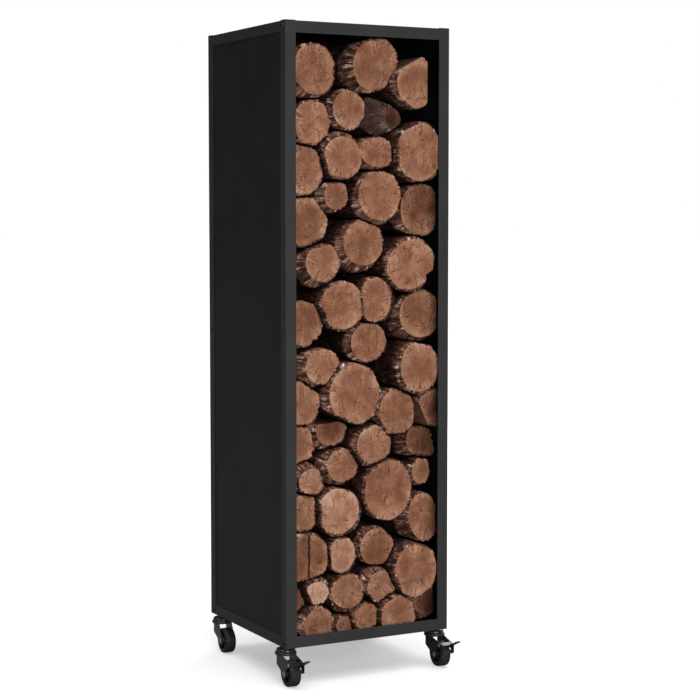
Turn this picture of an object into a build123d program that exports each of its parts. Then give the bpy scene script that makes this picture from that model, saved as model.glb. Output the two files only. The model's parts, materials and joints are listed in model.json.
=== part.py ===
from build123d import *

import math
import os

# Firewood log rack: a tall open-fronted steel frame on four swivel casters, filled with logs.
# Millimetres. X to the right, Y to the back, Z up. The origin is on the floor, under the
# middle of the frame. The frame is a welded box of thin angle, and sheets close its two sides,
# back, roof and floor from the inside. The front is open.

# ---------------------------------------------------------------- driving dimensions
# frame
frame_width = 350.0
frame_depth = 350.0
frame_height = 1167.0
angle_thickness = 1.5
post_face = 22.0  # width of a post's leg on the front or rear face
post_side = 20.0  # width of a post's leg on the side face
rail_face = 22.0  # height of the front and rear rails
rail_side = 20.0  # height of the side rails
rail_ledge = 20.0  # width of a front or rear rail's flat leg
post_stand_up = 1.0  # how far a post rises over the top rails

# sheets
sheet = 1.0
back_flange = 20.0
roof_flange = 18.0
floor_flange = 18.0
flange_gap = 0.5

# side bolts and nuts
bolt_diameter = 5.0
bolt_hole_clearance = 0.3
bolt_head_diameter = 10.0
bolt_head_height = 3.0
bolt_socket = 3.0  # across flats
bolt_socket_depth = 1.6
bolt_tip = 2.0  # thread beyond the nut
nut_flats = 8.0
nut_height = 4.0
bolt_from_face = 10.0
bolt_from_end = 11.0
bolt_second = 87.0

# casters
caster_height = 73.0
caster_from_side = 12.0
caster_from_face = 28.0
stem_diameter = 8.0
stem_hole_clearance = 0.5
stem_neck_flats = 13.0
stem_neck_height = 4.5
stem_nut_height = 6.5
stem_tip = 1.0
race_diameter = 36.0
race_thickness = 3.5
race_lip = 1.5
ball_diameter = 3.5
ball_circle = 25.0
ball_count = 12
ball_seat = 0.4
ball_clearance = 0.15
crown_diameter = 41.0
crown_skirt = 5.0
fork_thickness = 2.0
fork_width = 29.0
pin_running_gap = 0.3
rivet_head_diameter = 14.0
rivet_head_height = 2.0
wheel_diameter = 50.0
wheel_width = 20.0
wheel_trail = 22.0
rim_diameter = 38.0
rim_thickness = 2.5
web_thickness = 4.0
hub_diameter = 13.0
hub_side_gap = 0.5
tread_radius = 2.0
axle_diameter = 6.0
axle_bore = 3.4
axle_running_gap = 0.05
axle_head_diameter = 10.5
axle_head_height = 1.5
axle_boss = 16.0

# foot brake on the two front casters
pedal_thickness = 1.5
pedal_side_gap = 0.3
pedal_pivot_ahead = 19.0  # pivot ahead of the axle
pedal_pivot_above = 20.5  # pivot above the axle
pedal_pin_diameter = 4.0
pedal_pin_head = 7.0
pedal_pin_head_height = 1.0
pedal_pin_gap = 0.05
pedal_eye = 9.0
lever_reach = 35.0  # from pivot to the lever's tip
lever_rise = 13.0
lever_width = 9.0
lever_thickness = 2.5
nub_ahead = 10.5
nub_below = 14.0
nub_size = 7.0
pad_thickness = 3.0
pad_width = 16.0
brake_travel = 10.0  # degrees, from free to braked
brake_gap = 0.2

# logs
log_length = 300.0
log_gap = 0.3
log_bark = 1.10  # bark adds this much to the sawn face's radius
bay_margin = 1.0

# Each row of logs from the bottom up: across from the middle, height of the centre over the
# frame's underside, radius of the sawn face, and how far the face stands back from the opening.
# The stack was chosen for a bay 343 wide and 1160 high, and follows the bay from there.
pattern_width = 343.0
pattern_height = 1160.0
log_rows = [
    [(-100, 35, 34, 10), (-50, 24, 20, 24), (-5, 40, 27, 18), (65, 33, 36, 8), (128, 50, 30, 40)],
    [(-150, 80, 21, 30), (-114, 92, 25, 6), (-47, 96, 35, 14), (28, 86, 29, 22), (98, 119, 47, 3)],
    [(-130, 157, 41, 14), (-65, 170, 32, 8), (13, 168, 36, 26)],
    [(-138, 245, 32, 18), (-71, 254, 44, 4), (122, 222, 41, 30)],
    [(42, 288, 52, 4), (-120, 303, 28, 12), (-53, 338, 34, 20), (112, 316, 22, 33)],
    [(-148, 378, 28, 20), (-84, 400, 28, 36), (15, 373, 37, 6), (124, 369, 32, 38)],
    [(-140, 466, 34, 10), (-29, 470, 55, 2), (68, 432, 40, 16), (142, 437, 30, 28)],
    [(-97, 530, 35, 6), (110, 523, 45, 4), (-2, 567, 38, 22)],
    [(-135, 614, 36, 18), (-58, 640, 45, 3), (14, 651, 37, 8), (110, 623, 46, 30)],
    [(-95, 725, 38, 10), (-10, 765, 43, 14), (86, 716, 50, 5), (-132, 798, 40, 26)],
    [(-68, 850, 27, 24), (27, 852, 47, 6), (111, 820, 46, 33), (-138, 898, 38, 20)],
    [(-56, 913, 40, 5), (21, 931, 31, 20), (105, 933, 52, 3), (-120, 985, 39, 12)],
    [(-40, 1007, 37, 14), (60, 1005, 38, 32), (-118, 1083, 45, 6)],
]
free_logs = {"log_top_middle": (18, 1094, 46, 4), "log_top_right": (100, 1055, 44, 12)}
settle_steps = 400
settle_fall = 0.25
settle_hold = 0.03
radius_sweeps = 4
radius_growth = 1.02

# ---------------------------------------------------------------- places worked out from them
half_width = frame_width / 2
half_depth = frame_depth / 2
base = caster_height  # underside of the frame
top = base + frame_height
rail_top = top - post_stand_up
inner_x = half_width - angle_thickness  # outer face of the side sheets
inner_y = half_depth - angle_thickness  # outer face of the back sheet
floor_under = base + angle_thickness
floor_top = floor_under + sheet
roof_over = rail_top - angle_thickness
roof_under = roof_over - sheet
flange_x = inner_x - sheet  # outer face of the inner flanges
bay_x = flange_x - sheet  # clear half-width of the bay
back_front = inner_y - sheet
opening_x = half_width - post_face
opening_top = rail_top - rail_face

bolt_y = half_depth - bolt_from_face
bolt_front_z = [base + bolt_from_end, top - bolt_from_end]
bolt_rear_z = [
    base + bolt_from_end,
    base + bolt_second,
    base + frame_height / 2,
    top - bolt_second,
    top - bolt_from_end,
]
bolt_places = [(-bolt_y, z) for z in bolt_front_z] + [(bolt_y, z) for z in bolt_rear_z]
bolt_hole_radius = (bolt_diameter + bolt_hole_clearance) / 2

caster_x = half_width - caster_from_side
caster_y = half_depth - caster_from_face
caster_names = {
    "front_left": (-caster_x, -caster_y),
    "front_right": (caster_x, -caster_y),
    "rear_left": (-caster_x, caster_y),
    "rear_right": (caster_x, caster_y),
}
caster_places = list(caster_names.values())
side_ledge = post_face
stem_hole_radius = (stem_diameter + stem_hole_clearance) / 2
stem_nut_top = floor_top + stem_nut_height

neck_under = base - stem_neck_height
race_under = neck_under - race_thickness
ball_z = race_under + ball_seat - ball_diameter / 2
crown_top = ball_z - ball_diameter / 2 + ball_seat
crown_under = crown_top - fork_thickness
skirt_under = crown_top - crown_skirt
ball_groove = ball_diameter / 2 + ball_clearance
axle_z = wheel_diameter / 2
fork_inner = fork_width / 2 - fork_thickness
hub_width = 2 * (fork_inner - hub_side_gap)
pivot_ahead = wheel_trail + pedal_pivot_ahead
pivot_z = axle_z + pedal_pivot_above
cheek_outer = fork_inner - pedal_side_gap

os.makedirs("parts", exist_ok=True)


def save(part, name):
    """Labels a finished piece and writes it as its own STEP file."""
    part.label = name
    export_step(part, f"parts/{name}.step")


# ---------------------------------------------------------------- corner posts
for side, sx in (("left", -1), ("right", 1)):
    for end, sy in (("front", -1), ("rear", 1)):
        with BuildPart() as post:
            with BuildSketch(Plane.XY.offset(base)):
                with BuildLine():
                    Polyline(
                        (sx * half_width, sy * half_depth),
                        (sx * opening_x, sy * half_depth),
                        (sx * opening_x, sy * inner_y),
                        (sx * inner_x, sy * inner_y),
                        (sx * inner_x, sy * (half_depth - post_side)),
                        (sx * half_width, sy * (half_depth - post_side)),
                        close=True,
                    )
                make_face()
            extrude(amount=frame_height)
            with BuildSketch(Plane.YZ.offset(sx * half_width)):
                with Locations(*[(y, z) for y, z in bolt_places if y * sy > 0]):
                    Circle(bolt_hole_radius)
            extrude(amount=-sx * angle_thickness, mode=Mode.SUBTRACT)
        save(post.part, f"post_{end}_{side}")

# ---------------------------------------------------------------- front and rear rails
for end, sy in (("front", -1), ("rear", 1)):
    for level, outer, inward in (("top", rail_top, -1), ("bottom", base, 1)):
        with BuildPart() as rail:
            with BuildSketch(Plane.YZ.offset(-opening_x)):
                with BuildLine():
                    Polyline(
                        (sy * half_depth, outer),
                        (sy * half_depth, outer + inward * rail_face),
                        (sy * inner_y, outer + inward * rail_face),
                        (sy * inner_y, outer + inward * angle_thickness),
                        (sy * (half_depth - rail_ledge), outer + inward * angle_thickness),
                        (sy * (half_depth - rail_ledge), outer),
                        close=True,
                    )
                make_face()
            extrude(amount=2 * opening_x)
        save(rail.part, f"rail_{level}_{end}")

# ---------------------------------------------------------------- side rails
# Their flat legs run on between the posts and close the corners. The casters hang from the
# flat legs of the two bottom ones.
for side, sx in (("left", -1), ("right", 1)):
    for level, outer, inward in (("top", rail_top, -1), ("bottom", base, 1)):
        with BuildPart() as rail:
            ledge_z = outer if inward > 0 else outer - angle_thickness
            with BuildSketch(Plane.XY.offset(ledge_z)):
                with Locations((sx * (inner_x + half_width - side_ledge) / 2, 0)):
                    Rectangle(inner_x - half_width + side_ledge, 2 * inner_y)
            extrude(amount=angle_thickness)
            leg_z = outer if inward > 0 else outer - rail_side
            with BuildSketch(Plane.XY.offset(leg_z)):
                with Locations((sx * (inner_x + half_width) / 2, 0)):
                    Rectangle(angle_thickness, frame_depth - 2 * post_side)
            extrude(amount=rail_side)
            if level == "bottom":
                with BuildSketch(Plane.XY.offset(base)):
                    with Locations((sx * caster_x, -caster_y), (sx * caster_x, caster_y)):
                        Circle(stem_hole_radius)
                extrude(amount=angle_thickness, mode=Mode.SUBTRACT)
        save(rail.part, f"rail_{level}_{side}")

# ---------------------------------------------------------------- side sheets
for side, sx in (("left", -1), ("right", 1)):
    with BuildPart() as side_sheet:
        with BuildSketch(Plane.YZ.offset(sx * inner_x)):
            with Locations((0, (floor_under + roof_over) / 2)):
                Rectangle(2 * inner_y, roof_over - floor_under)
            with Locations(*bolt_places):
                Circle(bolt_hole_radius, mode=Mode.SUBTRACT)
        extrude(amount=-sx * sheet)
    save(side_sheet.part, f"sheet_{side}")

# ---------------------------------------------------------------- back sheet
# Folded forward along both sides, inside the side sheets.
with BuildPart() as back_sheet:
    with BuildSketch(Plane.XY.offset(floor_top)):
        with BuildLine():
            Polyline(
                (-flange_x, inner_y),
                (flange_x, inner_y),
                (flange_x, back_front - back_flange),
                (bay_x, back_front - back_flange),
                (bay_x, back_front),
                (-bay_x, back_front),
                (-bay_x, back_front - back_flange),
                (-flange_x, back_front - back_flange),
                close=True,
            )
        make_face()
    extrude(amount=roof_under - floor_top)
    for sx in (-1, 1):
        with BuildSketch(Plane.YZ.offset(sx * flange_x)):
            with Locations(*[(bolt_y, z) for z in bolt_rear_z]):
                Circle(bolt_hole_radius)
        extrude(amount=-sx * sheet, mode=Mode.SUBTRACT)
save(back_sheet.part, "sheet_back")

# ---------------------------------------------------------------- roof and floor sheets
# Each is a tray with two folded sides that the front bolts pass through.
tray_back = back_front - back_flange - flange_gap
tray_length = tray_back + inner_y
for name, plate_z, fold_z, fold, hole_z in (
    ("sheet_roof", roof_under, roof_under - roof_flange, roof_flange, bolt_front_z[1]),
    ("sheet_floor", floor_under, floor_top, floor_flange, bolt_front_z[0]),
):
    with BuildPart() as tray:
        with BuildSketch(Plane.XY.offset(plate_z)):
            Rectangle(2 * flange_x, 2 * inner_y)
            if name == "sheet_floor":
                with Locations(*caster_places):
                    Circle(stem_hole_radius, mode=Mode.SUBTRACT)
        extrude(amount=sheet)
        with BuildSketch(Plane.XY.offset(fold_z)):
            for sx in (-1, 1):
                with Locations((sx * (flange_x + bay_x) / 2, (tray_back - inner_y) / 2)):
                    Rectangle(sheet, tray_length)
        extrude(amount=fold)
        with BuildSketch(Plane.YZ.offset(-flange_x)):
            with Locations((-bolt_y, hole_z)):
                Circle(bolt_hole_radius)
        extrude(amount=2 * flange_x, mode=Mode.SUBTRACT)
    save(tray.part, name)

# ---------------------------------------------------------------- side bolts and their nuts
bolt_length = half_width - bay_x + nut_height + bolt_tip
with BuildPart() as bolts:
    for sx in (-1, 1):
        with BuildSketch(Plane.YZ.offset(sx * half_width)):
            with Locations(*bolt_places):
                Circle(bolt_head_diameter / 2)
        extrude(amount=sx * bolt_head_height)
    fillet(
        bolts.faces().group_by(Axis.X)[0].edges() + bolts.faces().group_by(Axis.X)[-1].edges(),
        bolt_head_height * 0.6,
    )
    for sx in (-1, 1):
        with BuildSketch(Plane.YZ.offset(sx * half_width)):
            with Locations(*bolt_places):
                Circle(bolt_diameter / 2)
        extrude(amount=-sx * bolt_length)
        with BuildSketch(Plane.YZ.offset(sx * (half_width + bolt_head_height))):
            with Locations(*bolt_places):
                RegularPolygon(bolt_socket / 2, 6, major_radius=False)
        extrude(amount=-sx * bolt_socket_depth, mode=Mode.SUBTRACT)
save(bolts.part, "side_bolts")

with BuildPart() as nuts:
    for sx in (-1, 1):
        with BuildSketch(Plane.YZ.offset(sx * bay_x)):
            with Locations(*bolt_places):
                RegularPolygon(nut_flats / 2, 6, major_radius=False)
                Circle(bolt_diameter / 2, mode=Mode.SUBTRACT)
        extrude(amount=-sx * nut_height)
save(nuts.part, "side_nuts")

# ---------------------------------------------------------------- caster stems
# A hexagon neck bears up against the rail, the thread goes up through rail and floor into a
# nut, and the lower end is the swivel pin, riveted over under the fork's crown.
pin_end = crown_under - pin_running_gap
with BuildPart() as stems:
    with BuildSketch(Plane.XY.offset(neck_under)):
        with Locations(*caster_places):
            RegularPolygon(stem_neck_flats / 2, 6, major_radius=False)
    extrude(amount=stem_neck_height)
    with BuildSketch(Plane.XY.offset(pin_end)):
        with Locations(*caster_places):
            Circle(stem_diameter / 2)
    extrude(amount=stem_nut_top + stem_tip - pin_end)
    with BuildSketch(Plane.XY.offset(pin_end)):
        with Locations(*caster_places):
            Circle(rivet_head_diameter / 2)
    extrude(amount=-rivet_head_height)
    chamfer(stems.faces().group_by(Axis.Z)[0].edges(), rivet_head_height * 0.4)
save(stems.part, "caster_stems")

with BuildPart() as stem_nuts:
    with BuildSketch(Plane.XY.offset(floor_top)):
        with Locations(*caster_places):
            RegularPolygon(stem_neck_flats / 2, 6, major_radius=False)
            Circle(stem_diameter / 2, mode=Mode.SUBTRACT)
    extrude(amount=stem_nut_height)
save(stem_nuts.part, "caster_nuts")

# ---------------------------------------------------------------- caster races and balls
race_radius = race_diameter / 2
with BuildPart() as races:
    with BuildSketch(Plane.XY.offset(race_under)):
        with Locations(*caster_places):
            Circle(race_radius)
            Circle(stem_diameter / 2, mode=Mode.SUBTRACT)
    extrude(amount=race_thickness)
    chamfer(races.edges().filter_by(GeomType.CIRCLE).group_by(Axis.Z)[-1].sort_by(
        SortBy.RADIUS)[-len(caster_places):], race_thickness * 0.4)
    with BuildSketch(Plane.XY.offset(race_under)):
        with Locations(*caster_places):
            Circle(race_radius)
            Circle(race_radius - race_lip, mode=Mode.SUBTRACT)
    extrude(amount=-(race_under - crown_top - pin_running_gap))
    with Locations(*[(x, y, ball_z) for x, y in caster_places]):
        Torus(ball_circle / 2, ball_groove, mode=Mode.SUBTRACT)
save(races.part, "caster_races")

with BuildPart() as balls:
    for x, y in caster_places:
        for turn in range(ball_count):
            angle = 2 * math.pi * turn / ball_count
            reach = ball_circle / 2
            with Locations((x + reach * math.cos(angle), y + reach * math.sin(angle), ball_z)):
                Sphere(ball_diameter / 2)
save(balls.part, "caster_balls")

# ---------------------------------------------------------------- caster forks
# A round pressed crown with a short skirt, and two legs that trail forward to the axle.
# The front casters' legs also reach up to the brake pivot.
skirt_inner = crown_diameter / 2 - fork_thickness
leg_back = 10.0
leg_front = 15.0
leg_knee = 13.0  # how far over the axle the legs' back edge turns in
lug_radius = pedal_eye / 2


def make_fork(x, y, braked):
    """One fork, with its crown on the stem at x, y and its axle ahead of it."""
    axle_y = y - wheel_trail
    with BuildPart() as fork:
        with BuildSketch(Plane.XY.offset(crown_under)):
            with Locations((x, y)):
                Circle(crown_diameter / 2)
        extrude(amount=fork_thickness)
        fillet(fork.edges().group_by(Axis.Z)[-1], fork_thickness * 0.6)
        with BuildSketch(Plane.XY.offset(crown_under)):
            with Locations((x, y)):
                Circle(crown_diameter / 2)
                Circle(skirt_inner, mode=Mode.SUBTRACT)
        extrude(amount=skirt_under - crown_under)
        for sx in (-1, 1):
            with BuildSketch(Plane.YZ.offset(x + sx * fork_width / 2)):
                with BuildLine():
                    Polyline(
                        (y + leg_back, crown_under),
                        (y + leg_back, axle_z + leg_knee),
                        (axle_y + axle_boss / 2, axle_z),
                        (axle_y - axle_boss / 2, axle_z),
                        (y - leg_front, skirt_under),
                        (y - leg_front, crown_under),
                        close=True,
                    )
                make_face()
                with Locations((axle_y, axle_z)):
                    Circle(axle_boss / 2)
                if braked:
                    with BuildLine():
                        Polyline(
                            (y - leg_front, skirt_under),
                            (y - pivot_ahead, pivot_z + lug_radius),
                            (y - pivot_ahead, pivot_z - lug_radius),
                            (axle_y, axle_z + axle_boss / 4),
                            close=True,
                        )
                    make_face()
                    with Locations((y - pivot_ahead, pivot_z)):
                        Circle(lug_radius)
            extrude(amount=-sx * fork_thickness)
        with BuildSketch(Plane.XY.offset(crown_under)):
            with Locations((x, y)):
                Circle(stem_diameter / 2 + pin_running_gap)
        extrude(amount=fork_thickness, mode=Mode.SUBTRACT)
        with Locations((x, y, ball_z)):
            Torus(ball_circle / 2, ball_groove, mode=Mode.SUBTRACT)
        with BuildSketch(Plane.YZ.offset(x - fork_width / 2)):
            with Locations((axle_y, axle_z)):
                Circle(axle_diameter / 2)
            if braked:
                with Locations((y - pivot_ahead, pivot_z)):
                    Circle(pedal_pin_diameter / 2)
        extrude(amount=fork_width, mode=Mode.SUBTRACT)
    return fork.part


for place, (x, y) in caster_names.items():
    save(make_fork(x, y, place.startswith("front")), f"fork_{place}")

# ---------------------------------------------------------------- axles, wheels and tyres
for place, (x, y) in caster_names.items():
    axle_y = y - wheel_trail
    with BuildPart() as axle:
        with BuildSketch(Plane.YZ.offset(x - fork_width / 2)):
            with Locations((axle_y, axle_z)):
                Circle(axle_diameter / 2)
        extrude(amount=fork_width)
        for sx in (-1, 1):
            with BuildSketch(Plane.YZ.offset(x + sx * fork_width / 2)):
                with Locations((axle_y, axle_z)):
                    Circle(axle_head_diameter / 2)
            extrude(amount=sx * axle_head_height)
        fillet(
            axle.faces().sort_by(Axis.X)[0].edges() + axle.faces().sort_by(Axis.X)[-1].edges(),
            axle_head_height * 0.6,
        )
        with BuildSketch(Plane.YZ.offset(x - fork_width)):
            with Locations((axle_y, axle_z)):
                Circle(axle_bore / 2)
        extrude(amount=2 * fork_width, mode=Mode.SUBTRACT)
    save(axle.part, f"axle_{place}")

    rim_outer = rim_diameter / 2
    with BuildPart() as core:
        with BuildSketch(Plane.YZ.offset(x)):
            with Locations((axle_y, axle_z)):
                Circle(rim_outer)
                Circle(rim_outer - rim_thickness, mode=Mode.SUBTRACT)
        extrude(amount=wheel_width / 2, both=True)
        with BuildSketch(Plane.YZ.offset(x)):
            with Locations((axle_y, axle_z)):
                Circle(rim_outer - rim_thickness)
        extrude(amount=web_thickness / 2, both=True)
        with BuildSketch(Plane.YZ.offset(x)):
            with Locations((axle_y, axle_z)):
                Circle(hub_diameter / 2)
        extrude(amount=hub_width / 2, both=True)
        with BuildSketch(Plane.YZ.offset(x)):
            with Locations((axle_y, axle_z)):
                Circle(axle_diameter / 2 + axle_running_gap)
        extrude(amount=hub_width, both=True, mode=Mode.SUBTRACT)
    save(core.part, f"wheel_{place}")

    with BuildPart() as tyre:
        with BuildSketch(Plane.YZ.offset(x)):
            with Locations((axle_y, axle_z)):
                Circle(wheel_diameter / 2)
        extrude(amount=wheel_width / 2, both=True)
        fillet(tyre.edges().filter_by(GeomType.CIRCLE), tread_radius)
        with BuildSketch(Plane.YZ.offset(x)):
            with Locations((axle_y, axle_z)):
                Circle(rim_outer)
        extrude(amount=wheel_width, both=True, mode=Mode.SUBTRACT)
    save(tyre.part, f"tyre_{place}")

# ---------------------------------------------------------------- foot brakes
# A rocker between the fork's legs. Its lever is pressed down by a toe, and the nub under the
# pivot then swings back and presses its rubber pad on the tyre.
tyre_radius = wheel_diameter / 2
turn = math.radians(brake_travel)
for place in ("front_left", "front_right"):
    x, y = caster_names[place]
    axle_y = y - wheel_trail
    pivot_y = y - pivot_ahead
    eye_top = pivot_z + pedal_eye / 2
    tip_y = pivot_y - lever_reach
    tip_z = pivot_z + lever_rise
    nub_y = pivot_y - nub_ahead
    nub_z = pivot_z - nub_below
    nub_front = nub_y - nub_size / 2
    with BuildPart() as pedal:
        for sx in (-1, 1):
            with BuildSketch(Plane.YZ.offset(x + sx * cheek_outer)):
                with Locations((pivot_y, pivot_z)):
                    Circle(pedal_eye / 2)
                with BuildLine():
                    Polyline(
                        (pivot_y, eye_top),
                        (nub_front, pivot_z + lever_thickness),
                        (nub_front, nub_z),
                        (nub_y + nub_size / 2, nub_z),
                        (pivot_y, pivot_z - pedal_eye / 2),
                        close=True,
                    )
                make_face()
            extrude(amount=-sx * pedal_thickness)
        with BuildSketch(Plane.YZ.offset(x - cheek_outer)):
            with BuildLine():
                Polyline(
                    (pivot_y, eye_top),
                    (nub_front, pivot_z + lever_thickness),
                    (nub_front, pivot_z + lever_thickness - pedal_thickness),
                    (pivot_y, eye_top - pedal_thickness),
                    close=True,
                )
            make_face()
        extrude(amount=2 * cheek_outer)
        with BuildSketch(Plane.YZ.offset(x + cheek_outer - lever_width)):
            with BuildLine():
                Polyline(
                    (nub_y, pivot_z + lever_thickness),
                    (tip_y, tip_z),
                    (tip_y, tip_z - lever_thickness),
                    (nub_front, pivot_z),
                    (nub_y, pivot_z),
                    close=True,
                )
            make_face()
            with Locations((tip_y, tip_z - lever_thickness / 2)):
                Circle(lever_thickness * 0.75)
        extrude(amount=lever_width)
        with BuildSketch(Plane.YZ.offset(x - cheek_outer)):
            with Locations((nub_y, nub_z + nub_size / 4)):
                Rectangle(pedal_thickness, nub_size)
        extrude(amount=2 * cheek_outer)
        with BuildSketch(Plane.YZ.offset(x - cheek_outer)):
            with Locations((pivot_y, pivot_z)):
                Circle(pedal_pin_diameter / 2 + pedal_pin_gap)
        extrude(amount=2 * cheek_outer, mode=Mode.SUBTRACT)
    save(pedal.part, f"brake_pedal_{place}")

    with BuildPart() as pin:
        with BuildSketch(Plane.YZ.offset(x - fork_width / 2)):
            with Locations((pivot_y, pivot_z)):
                Circle(pedal_pin_diameter / 2)
        extrude(amount=fork_width)
        for sx in (-1, 1):
            with BuildSketch(Plane.YZ.offset(x + sx * fork_width / 2)):
                with Locations((pivot_y, pivot_z)):
                    Circle(pedal_pin_head / 2)
            extrude(amount=sx * pedal_pin_head_height)
    save(pin.part, f"brake_pin_{place}")

    # The pad is cut by the tyre's circle as it stands to the pedal when the brake is on, so
    # that its face then lies just off the tread.
    braked_y = pivot_y + (axle_y - pivot_y) * math.cos(turn) + (axle_z - pivot_z) * math.sin(turn)
    braked_z = pivot_z - (axle_y - pivot_y) * math.sin(turn) + (axle_z - pivot_z) * math.cos(turn)
    with BuildPart() as pad:
        with BuildSketch(Plane.YZ.offset(x)):
            with Locations((nub_y + pedal_thickness / 2 + pad_thickness / 2, nub_z + nub_size / 4)):
                Rectangle(pad_thickness, nub_size)
            with Locations((braked_y, braked_z)):
                Circle(tyre_radius + brake_gap, mode=Mode.SUBTRACT)
        extrude(amount=pad_width / 2, both=True)
    save(pad.part, f"brake_pad_{place}")

# ---------------------------------------------------------------- logs
# The logs are settled as circles in the bay's cross-section: they are pushed apart, drawn down
# and held near their chosen places, then each radius is eased until it just clears its
# neighbours.
scale_x = 2 * bay_x / pattern_width
scale_z = (roof_under - floor_top) / pattern_height
scale_r = math.sqrt(scale_x * scale_z)
nut_corner_x = caster_x - stem_neck_flats / math.sqrt(3)
nut_corner_z = stem_nut_top + stem_tip
corners = [(-nut_corner_x, nut_corner_z), (nut_corner_x, nut_corner_z)]


# A log in the rows may reach out to the bay's walls, and stays behind the posts and rails. The
# free logs at the top stay inside the front opening, so that they draw straight out.
bay_limits = (bay_x, roof_under)
free_limits = (opening_x - bay_margin, opening_top - bay_margin)


def chosen(log, limits):
    """A log's chosen centre and radius, scaled to the bay, with its set-back and limits."""
    across, height, radius, setback = log
    centre = [across * scale_x, base + height * scale_z]
    return centre + [radius * log_bark * scale_r, setback, limits]


def settle(logs):
    """Returns the logs at rest, each with its centre moved."""
    placed = [list(log) for log in logs]
    for step in range(settle_steps):
        ease = 1 - step / settle_steps
        for log, start in zip(placed, logs):
            log[0] += (start[0] - log[0]) * settle_hold * ease
            log[1] += (start[1] - log[1]) * settle_hold * ease - settle_fall * ease
        for i, a in enumerate(placed):
            for b in placed[i + 1:]:
                apart = math.hypot(b[0] - a[0], b[1] - a[1])
                short = a[2] + b[2] - apart
                if short > 0:
                    push = short / apart / 2
                    dx = (b[0] - a[0]) * push
                    dz = (b[1] - a[1]) * push
                    a[0] -= dx
                    a[1] -= dz
                    b[0] += dx
                    b[1] += dz
        for log in placed:
            side_limit, upper_limit = log[4]
            log[0] = min(max(log[0], log[2] - side_limit), side_limit - log[2])
            log[1] = min(max(log[1], floor_top + log[2]), upper_limit - log[2])
            for cx, cz in corners:
                apart = math.hypot(log[0] - cx, log[1] - cz)
                if apart < log[2]:
                    log[0] += (log[0] - cx) * (log[2] / apart - 1)
                    log[1] += (log[1] - cz) * (log[2] / apart - 1)
    return placed


def ease_radii(placed):
    """Grows or trims each radius until the log clears all around it by the log gap."""
    for sweep in range(radius_sweeps):
        for i, (x, z, radius, setback, limits) in enumerate(placed):
            room = min(limits[0] - abs(x), z - floor_top, limits[1] - z) - log_gap
            for cx, cz in corners:
                room = min(room, math.hypot(x - cx, z - cz) - log_gap)
            for j, other in enumerate(placed):
                if j != i:
                    apart = math.hypot(x - other[0], z - other[1])
                    room = min(room, apart - other[2] - log_gap)
            placed[i][2] = min(room, radius * radius_growth)
    return placed


stacked = [chosen(log, bay_limits) for row in log_rows for log in row]
stacked += [chosen(log, free_limits) for log in free_logs.values()]
stacked = ease_radii(settle(stacked))

taken = 0
for number, row in enumerate(log_rows, start=1):
    with BuildPart() as log_row:
        for x, z, radius, setback, limits in stacked[taken:taken + len(row)]:
            with BuildSketch(Plane.XZ.offset(inner_y - setback)):
                with Locations((x, z)):
                    Circle(radius)
            extrude(amount=-log_length)
    taken += len(row)
    save(log_row.part, f"logs_row_{number:02d}")

for name, (x, z, radius, setback, limits) in zip(free_logs, stacked[taken:]):
    with BuildPart() as log:
        with BuildSketch(Plane.XZ.offset(inner_y - setback)):
            with Locations((x, z)):
                Circle(radius)
        extrude(amount=-log_length)
    save(log.part, name)
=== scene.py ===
import json
import math

import bmesh
import bpy
import numpy as np
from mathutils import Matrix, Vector, noise


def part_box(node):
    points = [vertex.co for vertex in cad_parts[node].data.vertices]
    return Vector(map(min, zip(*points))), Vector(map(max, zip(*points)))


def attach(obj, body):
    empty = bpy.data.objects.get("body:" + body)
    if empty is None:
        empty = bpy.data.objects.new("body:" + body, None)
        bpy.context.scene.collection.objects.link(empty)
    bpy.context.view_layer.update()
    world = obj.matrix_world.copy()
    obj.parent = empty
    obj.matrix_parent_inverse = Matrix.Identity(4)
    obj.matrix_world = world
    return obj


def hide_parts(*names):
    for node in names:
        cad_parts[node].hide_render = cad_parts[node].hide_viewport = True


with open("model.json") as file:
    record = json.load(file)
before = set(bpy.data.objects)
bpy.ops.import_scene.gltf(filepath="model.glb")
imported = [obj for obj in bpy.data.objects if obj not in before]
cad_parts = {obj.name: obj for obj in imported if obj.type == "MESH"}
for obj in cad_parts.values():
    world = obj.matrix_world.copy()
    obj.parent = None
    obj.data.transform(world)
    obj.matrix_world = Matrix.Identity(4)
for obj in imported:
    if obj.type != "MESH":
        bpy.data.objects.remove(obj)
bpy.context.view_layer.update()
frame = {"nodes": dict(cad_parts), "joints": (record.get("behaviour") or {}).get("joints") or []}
nodes = frame["nodes"]
pivots = {joint["name"]: Vector(joint["pos_m"]) for joint in frame["joints"] if "pos_m" in joint}

# ------------------------------------------------------------------ studio
# A plain pale floor under a high wide light that leaves a soft shadow between the casters.
# A large soft panel ahead lights the open front, and a weaker one the back and right side.
class Value:
    """A shader socket that takes part in sums as a plain number would."""

    def __init__(self, finish, socket):
        self.finish, self.socket = finish, socket

    def maths(self, operation, first, second):
        return self.finish.add("ShaderNodeMath", {"operation": operation}, {0: first, 1: second})

    def __add__(self, other):
        return self.maths("ADD", self, other)

    def __sub__(self, other):
        return self.maths("SUBTRACT", self, other)

    def __rsub__(self, other):
        return self.maths("SUBTRACT", other, self)

    def __mul__(self, other):
        return self.maths("MULTIPLY", self, other)

    def __truediv__(self, other):
        return self.maths("DIVIDE", self, other)

    __radd__, __rmul__ = __add__, __mul__


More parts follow.
